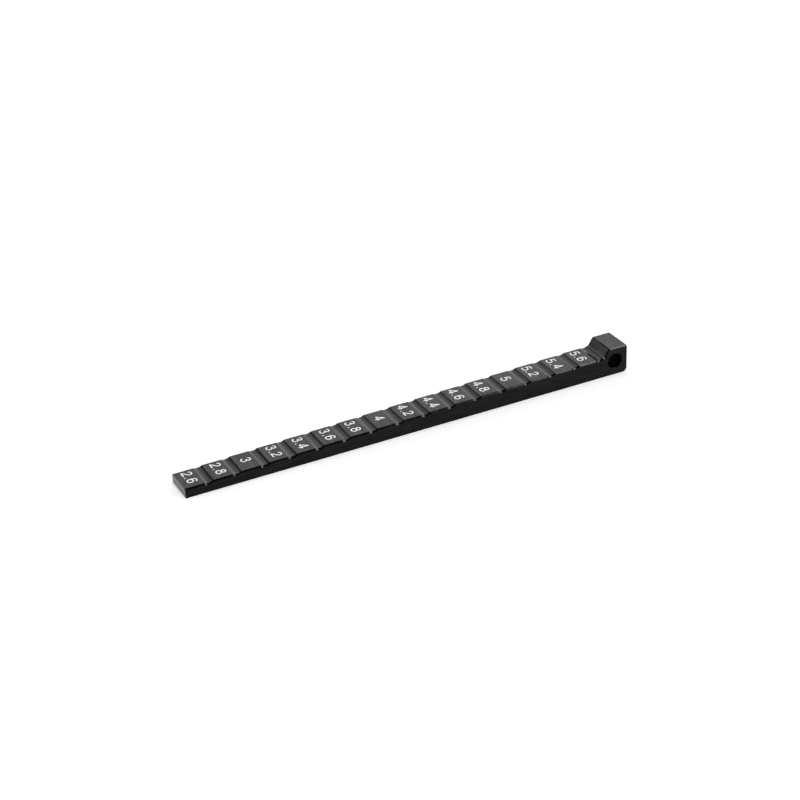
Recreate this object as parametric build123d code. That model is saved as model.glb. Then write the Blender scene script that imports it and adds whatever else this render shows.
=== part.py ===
from build123d import *
from math import radians, sqrt, tan
import os

# Ride height gauge: one machined bar that rises in sixteen even steps to a taller head with a cross hole.
# The bar lies flat with its length along X. The low end is at -X, the head at +X, and the lands face up.
# Lengths are in millimetres and angles in degrees. The origin is the middle of the resting face.

# Measuring lands
first_height = 2.6
height_step = 0.2
land_count = 16
land_pitch = 7.5
bar_width = 8.8

# Round relief groove at the foot of every rise
groove_radius = 2.5
groove_depth = 0.2
groove_offset = 6.4

# Head
head_length = 7.5
head_height = 8.0
ledge_length = 0.25
ramp_angle = 57.5
heel_chamfer = 0.8

# Cross hole in the head
hole_diameter = 4.3
hole_end_distance = 3.7
hole_height = 4.0
hole_countersink = 0.1

# Edges
side_chamfer = 0.4
edge_break = 0.25

bar_length = land_count * land_pitch + head_length


def land_height(index):
    return first_height + index * height_step


def groove_points(index):
    # First lip, lowest point and second lip of the groove after one land.
    # Each lip is where the groove's circle meets the land beside it.
    centre_x = groove_offset + index * land_pitch
    rise = groove_depth + height_step
    first_reach = sqrt(2 * groove_radius * groove_depth - groove_depth ** 2)
    second_reach = sqrt(2 * groove_radius * rise - rise ** 2)
    first_lip = (centre_x - first_reach, land_height(index))
    lowest = (centre_x, land_height(index) - groove_depth)
    second_lip = (centre_x + second_reach, land_height(index + 1))
    return first_lip, lowest, second_lip


# The ramp up to the head starts at a narrow ledge one step above the last land
last_lip = groove_points(land_count - 1)[2]
ledge_end = Vector(last_lip[0] + ledge_length, last_lip[1])
ramp_rise = head_height - ledge_end.Y
ramp_top = ledge_end + Vector(ramp_rise / tan(radians(ramp_angle)), ramp_rise)
ramp_direction = (ramp_top - ledge_end).normalized()

# Side profile, drawn from the low end over the lands to the head and back along the resting face
with BuildSketch(Plane.XZ) as profile:
    with BuildLine():
        corner = (0, land_height(0))
        Line((0, 0), corner)
        for index in range(land_count):
            first_lip, lowest, second_lip = groove_points(index)
            Line(corner, first_lip)
            ThreePointArc(first_lip, lowest, second_lip)
            corner = second_lip
        Polyline(
            corner,
            ledge_end,
            ramp_top - ramp_direction * edge_break,
            ramp_top + Vector(edge_break, 0),
            (bar_length - edge_break, head_height),
            (bar_length, head_height - edge_break),
            (bar_length, heel_chamfer),
            (bar_length - heel_chamfer, 0),
            (0, 0),
        )
    make_face()

bar = extrude(profile.sketch, bar_width / 2, both=True)

# Chamfers that follow the stepped outline on both sides, leaving the ends and the resting face square
outline = []
for side in bar.faces().filter_by(Axis.Y):
    for edge in side.edges() - side.edges().filter_by(Axis.Z):
        if (edge @ 0.5).Z > first_height / 2:
            outline.append(edge)
bar = chamfer(outline, side_chamfer)

# Cross hole through the head, countersunk on both sides
hole_axis = Plane((bar_length - hole_end_distance, 0, hole_height), x_dir=(1, 0, 0), z_dir=(0, 1, 0))
bar -= hole_axis * Cylinder(hole_diameter / 2, bar_width)
rims = bar.edges().filter_by(lambda edge: edge.is_closed)
bar = chamfer(rims, hole_countersink)

gauge_body = Pos(-bar_length / 2, 0, 0) * bar
gauge_body.label = "gauge_body"

os.makedirs("parts", exist_ok=True)
export_step(gauge_body, "parts/gauge_body.step")
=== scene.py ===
from math import cos, hypot, pi, radians, sin

import bmesh
import bpy
from mathutils import Matrix, Vector
from mathutils.geometry import delaunay_2d_cdt


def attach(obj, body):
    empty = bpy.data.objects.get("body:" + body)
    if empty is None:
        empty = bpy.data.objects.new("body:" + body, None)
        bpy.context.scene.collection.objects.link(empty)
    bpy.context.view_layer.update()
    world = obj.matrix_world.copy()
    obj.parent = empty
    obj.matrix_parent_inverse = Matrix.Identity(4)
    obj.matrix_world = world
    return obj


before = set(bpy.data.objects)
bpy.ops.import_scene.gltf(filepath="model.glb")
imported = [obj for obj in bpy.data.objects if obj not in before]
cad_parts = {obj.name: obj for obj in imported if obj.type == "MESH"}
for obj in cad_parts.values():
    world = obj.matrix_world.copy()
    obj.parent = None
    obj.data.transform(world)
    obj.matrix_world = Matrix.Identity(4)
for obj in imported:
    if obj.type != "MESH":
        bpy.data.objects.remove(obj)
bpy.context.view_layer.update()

mm = 0.001                       # every length below is in millimetres and is scaled by this
scene = bpy.context.scene
print("frame loaded:", ", ".join(sorted(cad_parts)))


# Shader maths in plain expressions. A Wire is one output of a node and belongs to a sheet of nodes.
class Wire:
    def __init__(self, sheet, socket):
        self.sheet, self.socket = sheet, socket

    def out(self, name):
        return Wire(self.sheet, self.socket.node.outputs[name])

    def maths(self, operation, *values):
        return self.sheet.node("ShaderNodeMath", {"operation": operation}, dict(enumerate(values)))

    def __add__(self, other):
        return self.maths("ADD", self, other)

    def __radd__(self, other):
        return self.maths("ADD", other, self)

    def __sub__(self, other):
        return self.maths("SUBTRACT", self, other)

    def __rsub__(self, other):
        return self.maths("SUBTRACT", other, self)

    def __mul__(self, other):
        return self.maths("MULTIPLY", self, other)

    def __rmul__(self, other):
        return self.maths("MULTIPLY", other, self)

    def __abs__(self):
        return self.maths("ABSOLUTE", self)

    def largest(self, other):
        return self.maths("MAXIMUM", self, other)

    # Rises from 0 to 1 as the value goes from low to high
    def between(self, low, high):
        return self.sheet.node("ShaderNodeMapRange", {"interpolation_type": "SMOOTHSTEP"},
                               {"Value": self, "From Min": low, "From Max": high})


class Sheet:
    def __init__(self, owner):
        owner.use_nodes = True
        self.owner, self.tree = owner, owner.node_tree
        self.tree.nodes.clear()

    # Settings are set before the sockets are filled, because some of them change which sockets a node has
    def node(self, kind, settings=None, sockets=None):
        made = self.tree.nodes.new(kind)
        for name, value in (settings or {}).items():
            setattr(made, name, value)
        for name, value in (sockets or {}).items():
            if isinstance(value, Wire):
                self.tree.links.new(value.socket, made.inputs[name])
            else:
                made.inputs[name].default_value = value
        return Wire(self, next((o for o in made.outputs if o.enabled), None))

    def colourMix(self, factor, first, second):
        made = self.node("ShaderNodeMix", {"data_type": "RGBA"}, {0: factor, 6: first, 7: second})
        return Wire(self, made.socket.node.outputs[2])

    def principled(self, colour, roughness, ior, normal):
        return self.node("ShaderNodeBsdfPrincipled", None, {
            "Base Color": colour, "Roughness": roughness, "IOR": ior, "Normal": normal})

    # Noise on a position that is scaled differently along X, Y and Z
    def noise(self, place, perMillimetre, detail, roughness):
        stretched = self.node("ShaderNodeVectorMath", {"operation": "MULTIPLY"},
                              {0: place, 1: [n / mm for n in perMillimetre]})
        return self.node("ShaderNodeTexNoise", {"noise_dimensions": "3D"},
                         {"Vector": stretched, "Scale": 1.0, "Detail": detail, "Roughness": roughness})


def newMaterial(name):
    return Sheet(bpy.data.materials.new(name))


# The bar: black anodised aluminium with a satin face over fine milling marks
barFinish = {
    "black": (0.0012, 0.0012, 0.0014, 1),
    "blackCloud": (0.0030, 0.0030, 0.0033, 1),   # slightly lighter dye in soft clouds
    "wornEdge": (0.030, 0.030, 0.032, 1),        # thinner film on the sharpest edges
    "paintedEndReflection": (0.080, 0.080, 0.082, 1),         # painted reflection: the ends are painted lighter, standing in for the bright floor they mirror
    "paintedLedgeHighlight": (0.14, 0.14, 0.142, 1),       # painted highlight: the narrow ledge at the foot of the ramp is painted lighter too
    "dullIor": 1.16,                             # gloss of the film where it is thin
    "sealedIor": 1.32,                           # and where it is well sealed
    "roughness": 0.18,
    "roughnessCloud": 0.04,
    "roughnessLine": 0.06,
    "edgeRadius": 0.07,
    "edgeSamples": 6,
    "edgeLean": (0.01, 0.12),                    # from where to where a rounded edge counts as worn
    "millMark": 0.0020,                          # height of the milling marks
    "grain": 0.0012,                             # height of the etched grain
    "passShare": 1.2,                            # how much each shows in the gloss
    "lineShare": 2.8,
    "grainShare": 2.8,
    "crestSpan": 0.75,                           # from minus this to this the gloss goes from dull to sealed
    # Noise: cells in a millimetre across and along a mark, or on X, Y and Z, then detail and roughness
    "lineNoise": (7.0, 0.20, 3.0, 0.6),
    "passNoise": (1.8, 0.07, 2.0, 0.5),
    "grainNoise": ((9.0, 9.0, 9.0), 3.0, 0.65),
    "cloudNoise": ((0.55, 0.35, 0.55), 3.0, 0.5),
    "wearNoise": ((1.3, 1.3, 1.3), 3.0, 0.5),
    "cloudFrom": (0.35, 0.70),                   # the noise values at which clouds and wear set in and are full
    "wearFrom": (0.42, 0.62),
    "sideFrom": (0.80, 0.95),                    # how squarely a face has to look sideways,
    "endFrom": (0.93, 0.98),                     # along the bar
    "upFrom": (0.60, 0.80),                      # or up
    "ledgeX": 56.68,                             # the ledge's middle and half width, and how softly it ends
    "ledgeHalf": 0.16,
    "ledgeBlend": 0.06,
    "boreX": 60.05,                              # the drilled wall of the cross hole is duller
    "boreZ": 4.0,
    "boreRadius": 2.16,
    "boreBlend": 0.02,
    "boreIor": 1.08,
    "boreRoughness": 0.45,
}


def makeBarFinish(values):
    sheet = newMaterial("blackAnodised")
    where = sheet.node("ShaderNodeTexCoord")
    place = where.out("Object")
    xyz = sheet.node("ShaderNodeSeparateXYZ", None, {0: place})
    facing = sheet.node("ShaderNodeSeparateXYZ", None, {0: where.out("Normal")})
    sideways = abs(facing.out("Y")).between(*values["sideFrom"])
    endways = abs(facing.out("X")).between(*values["endFrom"])
    upward = facing.out("Z").between(*values["upFrom"])

    # Cutter marks run across the lands, and along the bar on its two sides
    def marks(across, along, detail, roughness):
        onLands = sheet.noise(place, (across, along, across), detail, roughness)
        onSides = sheet.noise(place, (along, across, across), detail, roughness)
        return onLands * (1 - sideways) + onSides * sideways

    lines = marks(*values["lineNoise"])
    passes = marks(*values["passNoise"])
    grain = sheet.noise(place, *values["grainNoise"])
    clouds = sheet.noise(place, *values["cloudNoise"]).between(*values["cloudFrom"])

    # The edge mask is how far a softly rounded normal leans away from the true one
    rounded = sheet.node("ShaderNodeBevel", {"samples": values["edgeSamples"]},
                         {"Radius": values["edgeRadius"] * mm})
    trueNormal = sheet.node("ShaderNodeNewGeometry").out("Normal")
    lean = sheet.node("ShaderNodeVectorMath", {"operation": "DOT_PRODUCT"},
                      {0: rounded, 1: trueNormal}).out("Value")
    edge = (1 - lean).between(*values["edgeLean"])
    wear = edge * sheet.noise(place, *values["wearNoise"]).between(*values["wearFrom"])

    # The painted highlight on the narrow ledge, on faces that look up
    fromLedge = abs(xyz.out("X") * (1 / mm) - values["ledgeX"])
    half, blend = values["ledgeHalf"], values["ledgeBlend"]
    ledge = (1 - fromLedge.between(half - blend, half + blend)) * upward

    colour = sheet.colourMix(clouds, values["black"], values["blackCloud"])
    colour = sheet.colourMix(wear, colour, values["wornEdge"])
    # The ends get a painted reflection of the floor
    colour = sheet.colourMix(endways, colour, values["paintedEndReflection"])
    # The narrow ledge gets a painted highlight
    colour = sheet.colourMix(ledge, colour, values["paintedLedgeHighlight"])
    height = lines * values["millMark"] + grain * values["grain"]
    bump = sheet.node("ShaderNodeBump", None,
                      {"Strength": 1.0, "Distance": mm, "Height": height, "Normal": rounded})
    rough = (values["roughness"] + clouds * values["roughnessCloud"]
             + (lines - 0.5) * values["roughnessLine"])

    # The film is glossier on the crests of the marks, between the pits of the grain and on the ends
    dull = sheet.principled(colour, rough, values["dullIor"], bump)
    sealed = sheet.principled(colour, rough, values["sealedIor"], bump)
    crests = ((passes - 0.5) * values["passShare"] + (lines - 0.5) * values["lineShare"]
              + (grain - 0.5) * values["grainShare"]).between(-values["crestSpan"], values["crestSpan"])
    film = sheet.node("ShaderNodeMixShader", None, {0: crests.largest(endways), 1: dull, 2: sealed})

    # Inside the cross hole, told by the square of the distance from its axis
    fromAxisX = (xyz.out("X") - values["boreX"] * mm) * (1 / mm)
    fromAxisZ = (xyz.out("Z") - values["boreZ"] * mm) * (1 / mm)
    fromAxis = fromAxisX * fromAxisX + fromAxisZ * fromAxisZ
    reach = values["boreRadius"] ** 2
    bore = 1 - fromAxis.between(reach - values["boreBlend"], reach + values["boreBlend"])
    drilled = sheet.principled(values["black"], values["boreRoughness"], values["boreIor"], bump)
    shader = sheet.node("ShaderNodeMixShader", None, {0: bore, 1: film, 2: drilled})
    sheet.node("ShaderNodeOutputMaterial", None, {"Surface": shader})
    return sheet.owner


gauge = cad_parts["gauge_body"]
gauge.material_slots[0].material = makeBarFinish(barFinish)
print("bar finished")


# The scale: white laser-marked heights, one number on each land
scaleMarks = {
    "firstHeight": 2.6,
    "heightStep": 0.2,
    "count": 16,
    "pitch": 7.5,
    "lowEnd": -63.75,        # X of the low end of the bar
    "capHeight": 2.76,
    "stroke": 0.127,         # of the cap height
    "baseline": 1.90,        # from the start of the first land
    "drift": -0.035,         # each number stands this much nearer to the start of its land than the last
    "nudge": {0: -0.20, 3: 0.20, 5: 0.15, 6: -0.10},   # a few stand slightly out of line
    "centreY": 0.45,
    "digitStep": 1.79,       # from one character's centre to the next
    "proud": 0.012,          # above the land
    "sunk": 0.010,           # into the land, so that the mark has no gap under it
    "white": (0.95, 0.95, 0.94, 1),
    "whiteDull": (0.85, 0.85, 0.84, 1),
    "whiteFrom": (0.38, 0.60),   # the noise values at which the white sets in and is full
    "roughness": 0.62,
    "ior": 1.45,
    "lineHeight": 0.0016,
    "powderHeight": 0.0012,
    # Noise: cells in a millimetre on X, Y and Z, then detail and roughness
    "lineNoise": ((1.5, 22.0, 1.5), 2.0, 0.5),
    "powderNoise": ((30.0, 30.0, 30.0), 3.0, 0.6),
}


def arc(centreX, centreY, radiusX, radiusY, start, end, steps=28):
    angles = [radians(start + (end - start) * i / steps) for i in range(steps + 1)]
    return [(centreX + radiusX * cos(a), centreY + radiusY * sin(a)) for a in angles]


def smooth(points, steps=6):
    # A Catmull-Rom curve through the points
    ends = [tuple(2 * a - b for a, b in zip(points[0], points[1]))] + list(points)
    ends.append(tuple(2 * a - b for a, b in zip(points[-1], points[-2])))
    line = []
    for i in range(1, len(ends) - 2):
        p0, p1, p2, p3 = ends[i - 1:i + 3]
        for k in range(steps):
            t = k / steps
            line.append(tuple(0.5 * (2 * b + (c - a) * t + (2 * a - 5 * b + 4 * c - d) * t * t
                                     + (3 * b - a - 3 * c + d) * t ** 3) for a, b, c, d in zip(p0, p1, p2, p3)))
    return line + [points[-1]]


touching = 1e-5                  # points nearer than this are one point, on a cap height of 1

# Each character is a set of strokes, given by their middle lines, on a cap height of 1
characterLines = {
    "2": [smooth([(0.117, 0.695), (0.165, 0.85), (0.345, 0.938), (0.53, 0.87), (0.594, 0.72), (0.545, 0.57),
                  (0.40, 0.42), (0.21, 0.265), (0.10, 0.14), (0.07, 0.06)]),
          [(0.0, 0.062), (0.66, 0.062)]],
    "3": [arc(0.32, 0.745, 0.213, 0.193, 172, -90), arc(0.32, 0.300, 0.262, 0.250, 90, -170),
          [(0.23, 0.551), (0.33, 0.551)]],
    "4": [[(0.50, 0.0), (0.50, 1.0)], [(0.0, 0.295), (0.70, 0.295)], [(0.055, 0.30), (0.50, 0.93)]],
    "5": [[(0.58, 0.928), (0.115, 0.928)], [(0.175, 0.93), (0.098, 0.50)],
          arc(0.310, 0.318, 0.290, 0.270, 142, -165)],
    "6": [arc(0.335, 0.315, 0.268, 0.268, 0, 360),
          smooth([(0.067, 0.33), (0.065, 0.50), (0.105, 0.73), (0.215, 0.885), (0.37, 0.938),
                  (0.505, 0.885), (0.577, 0.765)])],
    "8": [arc(0.33, 0.745, 0.213, 0.193, 0, 360), arc(0.33, 0.300, 0.268, 0.250, 0, 360)],
    ".": [[(0.0, 0.062), (0.125, 0.062)]],
}


def strokeQuads(line, width):
    # Splits a stroke into one quad for each step along its middle line
    closed = hypot(line[0][0] - line[-1][0], line[0][1] - line[-1][1]) < touching
    rails = []
    for i, (x, y) in enumerate(line):
        before = line[i - 1] if i else (line[-2] if closed else line[0])
        after = line[i + 1] if i < len(line) - 1 else (line[1] if closed else line[-1])
        run = Vector((after[0] - before[0], after[1] - before[1])).normalized() * width / 2
        rails.append(((x - run.y, y + run.x), (x + run.y, y - run.x)))
    return [(a[0], a[1], b[1], b[0]) for a, b in zip(rails, rails[1:])]


def characterFaces(character, width):
    # Joins a character's strokes into one flat shape without overlaps
    quads = [q for line in characterLines[character] for q in strokeQuads(line, width)]
    points = [Vector(p) for q in quads for p in q]
    faces = [[4 * i, 4 * i + 1, 4 * i + 2, 4 * i + 3] for i in range(len(quads))]
    joined, _, triangles, _, _, covered = delaunay_2d_cdt(points, [], faces, 1, touching, True)
    return joined, [t for t, under in zip(triangles, covered) if under]


def layCharacter(form, character, baseX, centreY, top, values):
    # Adds a character's flat shape, with its foot at baseX and its middle at centreY
    points, faces = characterFaces(character, values["stroke"])
    middle = (min(p.x for p in points) + max(p.x for p in points)) / 2
    size = values["capHeight"]
    corners = [form.verts.new(((baseX + p.y * size) * mm, (centreY - (p.x - middle) * size) * mm, top))
               for p in points]
    for face in faces:
        form.faces.new([corners[i] for i in face])


def thicken(form, depth):
    # Makes the flat shape a thin closed one that reaches down by depth
    bmesh.ops.recalc_face_normals(form, faces=form.faces)
    for face in form.faces:
        if face.normal.z < 0:
            face.normal_flip()
    lower = bmesh.ops.extrude_face_region(form, geom=form.faces[:], use_keep_orig=True)
    sunkVerts = [g for g in lower["geom"] if isinstance(g, bmesh.types.BMVert)]
    bmesh.ops.translate(form, verts=sunkVerts, vec=(0, 0, -depth))
    bmesh.ops.recalc_face_normals(form, faces=form.faces)


def makeNumber(index, values, finish):
    height = values["firstHeight"] + index * values["heightStep"]
    text = f"{height:.1f}".removesuffix(".0")
    top = (height + values["proud"]) * mm
    baseX = values["lowEnd"] + values["baseline"] + index * (values["pitch"] + values["drift"])
    baseX += values["nudge"].get(index, 0)
    form = bmesh.new()
    for place, character in enumerate(text):
        centreY = values["centreY"] - (place - (len(text) - 1) / 2) * values["digitStep"]
        layCharacter(form, character, baseX, centreY, top, values)
    thicken(form, (values["proud"] + values["sunk"]) * mm)
    mesh = bpy.data.meshes.new("number_" + text.replace(".", ""))
    form.to_mesh(mesh)
    form.free()
    mesh.materials.append(finish)
    number = bpy.data.objects.new(mesh.name, mesh)
    scene.collection.objects.link(number)
    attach(number, "root")
    return number


def makeMarkFinish(values):
    sheet = newMaterial("whiteLaserMark")
    place = sheet.node("ShaderNodeTexCoord").out("Object")
    # The laser fills a mark with close lines along the bar, over a fine powdery grain
    lines = sheet.noise(place, *values["lineNoise"])
    powder = sheet.noise(place, *values["powderNoise"])
    patchy = (lines * 0.5 + powder * 0.5).between(*values["whiteFrom"])
    colour = sheet.colourMix(patchy, values["whiteDull"], values["white"])
    height = lines * values["lineHeight"] + powder * values["powderHeight"]
    bump = sheet.node("ShaderNodeBump", None, {"Strength": 1.0, "Distance": mm, "Height": height})
    shader = sheet.principled(colour, values["roughness"], values["ior"], bump)
    sheet.node("ShaderNodeOutputMaterial", None, {"Surface": shader})
    return sheet.owner


markFinish = makeMarkFinish(scaleMarks)
numbers = [makeNumber(i, scaleMarks, markFinish) for i in range(scaleMarks["count"])]
print("numbers made:", len(numbers))


# The floor: white, and it keeps a faint shadow of the gauge
floorSet = {
    "radius": 2500.0,         # of the flat part
    "rings": (0.1, 0.3, 0.6, 1.0),
    "coveShare": 0.25,        # radius of the cove at its rim, as a share of the floor's
    "coveStep": 10,           # degrees
    "wallHeight": 900.0,
    "sides": 96,
    "white": (0.95, 0.95, 0.95, 1),
    "ownWhite": 0.26,         # plain white that the camera sees on top of the lit floor
    "farWhite": 1.0,          # and far from the gauge, where the panels don't light it
    "farFrom": (400.0, 1000.0),   # the distances at which that sets in and is full
    "mirroredWhite": 0.12,    # what gloss and glass see of it
}


def makeFloorFinish(values):
    sheet = newMaterial("floorWhite")
    lit = sheet.node("ShaderNodeBsdfDiffuse", None, {"Color": values["white"]})
    path = sheet.node("ShaderNodeLightPath")
    mirrored = path.out("Is Glossy Ray").largest(path.out("Is Transmission Ray"))
    place = sheet.node("ShaderNodeTexCoord").out("Object")
    away = sheet.node("ShaderNodeVectorMath", {"operation": "LENGTH"}, {0: place}).out("Value") * (1 / mm)
    own = values["ownWhite"] + away.between(*values["farFrom"]) * (values["farWhite"] - values["ownWhite"])
    shown = path.out("Is Camera Ray") * own + mirrored * values["mirroredWhite"]
    plain = sheet.node("ShaderNodeEmission", None, {"Color": (1, 1, 1, 1), "Strength": shown})
    shader = sheet.node("ShaderNodeAddShader", None, {0: lit, 1: plain})
    sheet.node("ShaderNodeOutputMaterial", None, {"Surface": shader})
    return sheet.owner


def makeFloor(values):
    form = bmesh.new()
    radius, cove, sides = values["radius"], values["coveShare"], values["sides"]
    rings = [(radius * share, 0.0) for share in values["rings"]]
    rings += [(radius * (1 + cove * sin(radians(a))), radius * cove * (1 - cos(radians(a))))
              for a in range(values["coveStep"], 91, values["coveStep"])]
    rings += [(radius * (1 + cove), values["wallHeight"])]
    turns = [2 * pi * i / sides for i in range(sides)]
    loops = [[form.verts.new((reach * cos(turn) * mm, reach * sin(turn) * mm, height * mm)) for turn in turns]
             for reach, height in rings]
    form.faces.new(loops[0])
    for low, high in zip(loops, loops[1:]):
        for i in range(sides):
            j = (i + 1) % sides
            form.faces.new((low[i], high[i], high[j], low[j]))
    for face in form.faces:
        face.smooth = True
    mesh = bpy.data.meshes.new("floor")
    form.to_mesh(mesh)
    form.free()
    floor = bpy.data.objects.new("floor", mesh)
    scene.collection.objects.link(floor)
    mesh.materials.append(makeFloorFinish(values))


makeFloor(floorSet)
print("floor laid")


# The light: large soft panels around the gauge and a dim room
lightSet = {
    "roomStrength": 0.04,
    "panels": {
        # azimuth from +Y towards +X, elevation, distance, width, height, radiance
        "backLow": (17, 10, 900, 1008, 160, 1.4),
        "backMid": (22, 19.5, 905, 900, 150, 2.3),
        "backHigh": (12.3, 30.4, 2400, 1869, 640, 2.15),
        "backTop": (15.2, 42, 2400, 1383, 340, 2.15),
        "backLeft": (-41, 17, 900, 626, 420, 1.8),
        "frontRight": (125.3, 41.7, 510, 120, 110, 17),
        "right": (95, 22, 900, 708, 383, 1.4),
        "front": (171, 21, 900, 1460, 430, 1.4),
        "left": (-91.5, 30, 450, 389, 292, 2.0),
        "frontLeft": (-134, 27, 900, 390, 210, 1.2),
        "overhead": (0, 88, 900, 700, 700, 1.4),
    },
}


def makeLights(values):
    for name, (azimuth, elevation, distance, width, height, radiance) in values["panels"].items():
        lamp = bpy.data.lights.new(name, "AREA")
        lamp.shape, lamp.size, lamp.size_y = "RECTANGLE", width * mm, height * mm
        lamp.energy = radiance * pi * width * height * mm * mm
        panel = bpy.data.objects.new(name, lamp)
        a, e = radians(azimuth), radians(elevation)
        away = Vector((sin(a) * cos(e), cos(a) * cos(e), sin(e)))
        panel.location = away * distance * mm
        panel.rotation_mode = "QUATERNION"
        panel.rotation_quaternion = away.to_track_quat("Z", "Y")
        panel.visible_camera = False
        scene.collection.objects.link(panel)
    room = bpy.data.worlds.new("room")
    scene.world = room
    sheet = Sheet(room)
    glow = sheet.node("ShaderNodeBackground", None, {"Color": (1, 1, 1, 1), "Strength": values["roomStrength"]})
    sheet.node("ShaderNodeOutputWorld", None, {"Surface": glow})


makeLights(lightSet)
print("light set")


# The camera stands where the photograph was taken from
cameraSet = {
    "place": (-191.599, -388.598, 249.218),
    "right": (0.889234, -0.455971, -0.036779),
    "up": (0.251191, 0.419510, 0.872304),
    "lens": 86.877,
    "sensor": 36.0,
    "clip": (10.0, 10000.0),     # the nearest and the farthest that it sees
}


def makeCamera(values):
    camera = bpy.data.objects.new("camera", bpy.data.cameras.new("camera"))
    camera.data.lens, camera.data.sensor_width = values["lens"], values["sensor"]
    camera.data.clip_start, camera.data.clip_end = (length * mm for length in values["clip"])
    right, up = Vector(values["right"]), Vector(values["up"])
    turn = Matrix((right, up, right.cross(up))).transposed().to_4x4()
    camera.matrix_world = Matrix.Translation(Vector(values["place"]) * mm) @ turn
    scene.collection.objects.link(camera)
    scene.camera = camera


makeCamera(cameraSet)
scene.view_settings.view_transform = "Standard"
